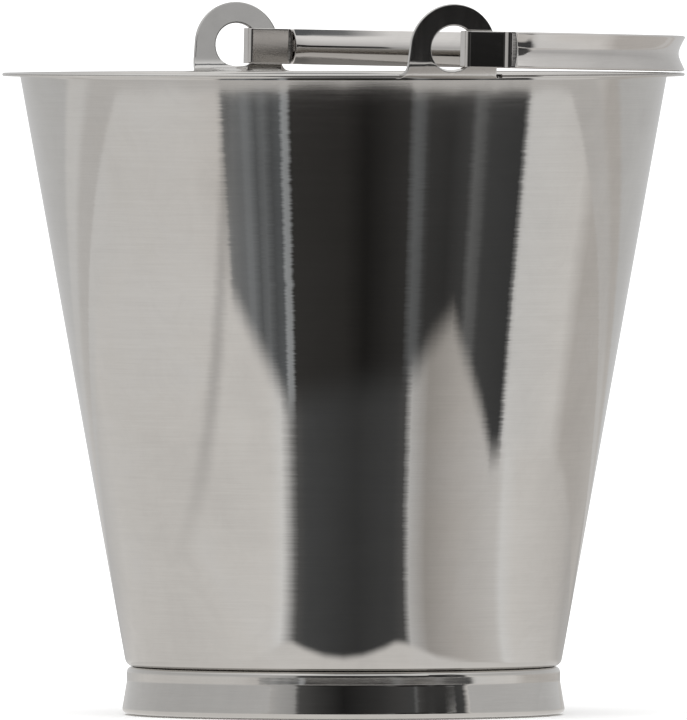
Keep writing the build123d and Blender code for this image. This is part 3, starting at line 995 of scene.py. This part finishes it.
# Edges on the set's floor, given by where the pail's wall mirrors them:
# (turn on the wall in degrees from the camera, height on the wall)
TABLE_EDGE = (
    (-60, 0.185),
    (-22, 0.185),
    (-19, 0.170),
    (-15, 0.153),
    (-12, 0.140),
    (12, 0.150),
    (16, 0.157),
    (18, 0.166),
    (22.7, 0.179),
    (27, 0.157),
    (31, 0.139),
    (35, 0.117),
    (60, 0.110),
)
TABLE_BLUR = 0.035  # where the pale table gives way to the room
ROOM_EDGE = (
    *((turn, 0.2785) for turn in (-45, -38, -28, -20, -10.5)),
    *((turn, 0.2812) for turn in (-9.5, 0, 12)),
    *((turn, 0.2787) for turn in (13, 20, 28, 36, 45)),
)
ROOM_BLUR = 0.003  # pale floor beyond
NOSE_EDGE = (
    (-50, 0.0200),
    (-25, 0.0260),
    (-16, 0.0340),
    (-13.5, 0.0345),
    (-10, 0.0315),
    (-5, 0.0285),
    (0, 0.0275),
    (5, 0.0285),
    (10, 0.0315),
    (13.5, 0.0345),
    (16, 0.0340),
    (25, 0.0280),
    (50, 0.0200),
)
NOSE_BLUR = 0.006  # pale ground close to the foot
PALE_FLOOR, PALE_CARD, DARK_FLAG = grey(0.66, 0.02), grey(0.66, 0.01), grey(0.14, -0.06)

# cards: the azimuths they span, and (height or radius, half of its blur) where they begin and end
CARD_SPAN = bands((-180, 0, 0), (54, 0, 0), (55.5, 1, 0), (59, 1, 0), (60.5, 0, 0), (180, 0, 0))
CARD_FROM, CARD_TO = (0.276, 0.004), (0.303, 0.003)  # pale card on the wall
FLAG_SPAN = bands(
    (-180, 0, 0),
    (-32, 0, 0),
    (-10, 0.9, 0),
    (10, 1, 0),
    (60, 1, 0),
    (70, 0, 0),
    (180, 0, 0),
)
FLAG_FROM, FLAG_REACH = (2.12, 0.06), (0.60, 0.06)  # dark flag overhead, from a height and a radius

# faint straight seam on the table, through two points (sideways, towards the camera)
SEAM_FROM, SEAM_TO = Vector((-0.33, 0.10)), Vector((-0.53, 0.53))
SEAM_HALF_WIDTH, SEAM_DEPTH = 0.05, 0.25
SEAM_START = (0.42, 0.14)  # (radius, half of its blur) from where it shows

# (azimuth, height) of the border between the standing bands and the pale sky above them
SKYLINE = (
    (-180, 0.03),
    (-60, 0.06),
    (-46, 0.08),
    (-38, 0.35),
    (-22, 0.62),
    (30, 0.62),
    (35, 0.45),
    (46, 0.45),
    (50, 0.95),
    (66, 0.95),
    (69, 0.12),
    (90, 0.05),
    (180, 0.03),
)
SKYLINE_BLUR = (-0.004, 0.012)  # below it and above it
SKY = ((0.0, 0.66), (0.2, 0.58), (0.4, 0.78), (0.65, 1.0), (1.0, 1.05))  # (share of the height, brightness)


def smooth(n, value, middle, half):
    """0 below middle - half, 1 above middle + half, eased between."""
    inputs = {"Value": value, "From Min": middle - half, "From Max": middle + half}
    return n.add("ShaderNodeMapRange", inputs, interpolation_type="SMOOTHSTEP").outputs[0]


def ease(n, value, low, high, to_low, to_high):
    inputs = {"Value": value, "From Min": low, "From Max": high, "To Min": to_low, "To Max": to_high}
    return n.add("ShaderNodeMapRange", inputs, interpolation_type="SMOOTHSTEP").outputs[0]


def blend_colour(n, share, first, second):
    """The first colour where share is 0 and the second where it is 1."""
    if not isinstance(second, bpy.types.NodeSocket):
        second = (*second, 1.0)
    return n.add("ShaderNodeMix", {0: share, 6: first, 7: second}, data_type="RGBA").outputs[2]


def mirrored_radius(edge):
    """Ramp stops, by azimuth, of half the floor radius that the wall mirrors along an edge."""
    tilt = math.atan(WALL_SLOPE)
    stops = []
    for turn, z in edge:
        turn = math.radians(turn)
        radius = inside_radius(z) + WALL_SHIFT
        drop = math.asin((RIM_Z + CAMERA_DISTANCE * math.sin(CAMERA_RISE) - z) / CAMERA_DISTANCE)
        sight = Vector((0, -math.cos(drop), -math.sin(drop)))
        outward = Vector((math.sin(turn), math.cos(turn), 0))
        ray = sight.reflect(outward * math.cos(tilt) - Vector((0, 0, math.sin(tilt))))
        spot = outward * radius + ray * (z / -ray.z)
        azimuth = math.atan2(spot.x, spot.y)
        stops.append((azimuth / (2 * math.pi) + 0.5, grey(math.hypot(spot.x, spot.y) / 2)))
    return stops


def beyond(n, radius, turn, edge, half):
    """Share past an edge of mirrored_radius, with a soft border."""
    limit = n.math("MULTIPLY", n.ramp(turn, mirrored_radius(edge)), 2.0)
    return smooth(n, n.math("SUBTRACT", radius, limit), 0.0, half)


def reflected_floor(n, turn, radius, side, front):
    """Colour of the set's floor: ground by the foot, seamed table, room, and the pale floor beyond."""
    run = SEAM_TO - SEAM_FROM
    across = Vector((run.y, -run.x)).normalized()
    offset = n.math("ADD", n.math("MULTIPLY", side, across.x), n.math("MULTIPLY", front, across.y))
    offset = n.math("ABSOLUTE", n.math("SUBTRACT", offset, across.dot(SEAM_FROM)))
    seam = ease(n, offset, 0.0, SEAM_HALF_WIDTH, SEAM_DEPTH, 0.0)
    seam = n.math("SUBTRACT", 1.0, n.math("MULTIPLY", seam, smooth(n, radius, *SEAM_START)))
    table = n.ramp(turn, NEAR_BANDS)
    nose = n.ramp(turn, NOSE_BANDS)
    table = blend_colour(n, beyond(n, radius, turn, NOSE_EDGE, NOSE_BLUR), nose, table)
    room = n.ramp(turn, FAR_BANDS)
    low = blend_colour(n, beyond(n, radius, turn, TABLE_EDGE, TABLE_BLUR), table, room)
    low = n.vector("SCALE", low, seam)
    return blend_colour(n, beyond(n, radius, turn, ROOM_EDGE, ROOM_BLUR), low, PALE_FLOOR)


def reflected_set(n):
    """Colour of the whole set by position: floor, standing bands with a card, and sky with a flag."""
    place = n.add("ShaderNodeNewGeometry").outputs["Position"]
    parts = n.add("ShaderNodeSeparateXYZ", {0: place})
    x, y, z = parts.outputs[0], parts.outputs[1], parts.outputs[2]
    # turn is the azimuth from the camera's own direction, as a share of a whole turn from behind
    c, s = math.cos(CAMERA_TURN), math.sin(CAMERA_TURN)
    side = n.math("ADD", n.math("MULTIPLY", x, c), n.math("MULTIPLY", y, s))
    front = n.math("SUBTRACT", n.math("MULTIPLY", x, s), n.math("MULTIPLY", y, c))
    turn = n.remap(n.math("ARCTAN2", side, front), -math.pi, math.pi, 0.0, 1.0)
    radius = n.math("SQRT", n.math("ADD", n.math("MULTIPLY", x, x), n.math("MULTIPLY", y, y)))

    low = reflected_floor(n, turn, radius, side, front)
    low = blend_colour(n, smooth(n, z, *STANDING_FROM), low, n.ramp(turn, STANDING_BANDS))
    low = blend_colour(n, smooth(n, z, *UPPER_FROM), low, n.ramp(turn, UPPER_BANDS))
    card = n.math("MULTIPLY", smooth(n, z, *CARD_FROM), n.math("SUBTRACT", 1.0, smooth(n, z, *CARD_TO)))
    low = blend_colour(n, n.math("MULTIPLY", card, n.ramp(turn, CARD_SPAN)), low, PALE_CARD)

    skyline = n.ramp(turn, [((azimuth + 180) / 360, grey(level)) for azimuth, level in SKYLINE])
    above = ease(n, n.math("SUBTRACT", z, skyline), *SKYLINE_BLUR, 0.0, 1.0)
    sky = n.ramp(n.remap(z, 0.0, SET_HEIGHT, 0.0, 1.0), [(share, grey(level)) for share, level in SKY])
    flag = n.math("MULTIPLY", smooth(n, z, *FLAG_FROM), smooth(n, radius, *FLAG_REACH))
    flag = n.math("MULTIPLY", flag, n.ramp(turn, FLAG_SPAN))
    return blend_colour(n, above, low, blend_colour(n, flag, sky, DARK_FLAG))


def make_set():
    """Reflection set round the pail: only glossy rays see it, as with flags and cards off camera."""
    rows = [(radius, SET_FLOOR_Z) for radius in (AXIS_GAP, 0.2, 0.5, 0.9, SET_RADIUS)]
    rows += [(SET_RADIUS, SET_HEIGHT * i / 6) for i in range(1, 7)]
    rows += [(LID_STEP, SET_HEIGHT), (AXIS_GAP, SET_HEIGHT)]
    count = 180
    verts = [around(radius, 2 * math.pi * j / count, z) for radius, z in rows for j in range(count)]
    obj = add_mesh("reflection_set", verts, grid_faces(len(rows), count, wrap_columns=True))
    obj.data.materials.append(emission("reflection_set_glow", reflected_set))
    obj.visible_camera = False
    obj.visible_diffuse = False
    obj.visible_shadow = False
    obj.visible_transmission = False


FLOOR_REACH, FLOOR_Z = 120.0, -0.8 * MM


def make_floor():
    """Plain pale floor, left out of the steel's reflections."""
    corners = [(-1, -1), (1, -1), (1, 1), (-1, 1)]
    verts = [(FLOOR_REACH * x, FLOOR_REACH * y, FLOOR_Z) for x, y in corners]
    obj = add_mesh("floor", verts, [(0, 1, 2, 3)])
    material = bpy.data.materials.new("floor_paint")
    material.use_nodes = True
    n = Nodes(material.node_tree)
    shader = n.add("ShaderNodeBsdfDiffuse", {"Color": (0.9, 0.9, 0.9, 1.0)})
    n.add("ShaderNodeOutputMaterial", {"Surface": shader.outputs[0]})
    obj.data.materials.append(material)
    obj.visible_glossy = False


make_set()
make_floor()


def make_light():
    """White surroundings and one wide, soft light from above."""
    world = bpy.data.worlds.new("studio_world")
    bpy.context.scene.world = world
    world.use_nodes = True
    n = Nodes(world.node_tree)
    backdrop = n.add("ShaderNodeBackground", {"Color": (1.0, 1.0, 1.0, 1.0), "Strength": 1.15})
    n.add("ShaderNodeOutputWorld", {"Surface": backdrop.outputs[0]})
    sun_data = bpy.data.lights.new("overhead_softbox", "SUN")
    sun_data.energy = 1.4
    sun_data.angle = math.radians(70)
    sun = bpy.data.objects.new("overhead_softbox", sun_data)
    sun.rotation_euler = (math.radians(18), math.radians(-12), 0)
    sun.visible_glossy = False
    bpy.context.scene.collection.objects.link(sun)


make_light()
bpy.context.scene.view_settings.view_transform = "Standard"
bpy.context.scene.view_settings.look = "None"

# ---- camera: long lens, almost level with the rim --------------------------------------------
VIEW_HEIGHT = 321.6 * MM  # seen across the pail's axis
AIM_DROP = 128.4 * MM  # aim point below the rim
SENSOR = 36.0

camera_data = bpy.data.cameras.new("camera")
camera = bpy.data.objects.new("camera", camera_data)
bpy.context.scene.collection.objects.link(camera)
bpy.context.scene.camera = camera
away = Vector((math.sin(CAMERA_TURN), -math.cos(CAMERA_TURN), 0))
eye_point = away * CAMERA_DISTANCE * math.cos(CAMERA_RISE)
eye_point.z = RIM_Z + CAMERA_DISTANCE * math.sin(CAMERA_RISE)
camera.location = eye_point
camera_data.sensor_width = SENSOR
camera_data.lens = SENSOR * CAMERA_DISTANCE / VIEW_HEIGHT
aim = Vector((0, 0, RIM_Z - AIM_DROP))
camera.rotation_mode = "QUATERNION"
camera.rotation_quaternion = (aim - eye_point).to_track_quat("-Z", "Y")
camera_data.clip_start = 0.1
camera_data.clip_end = 300.0
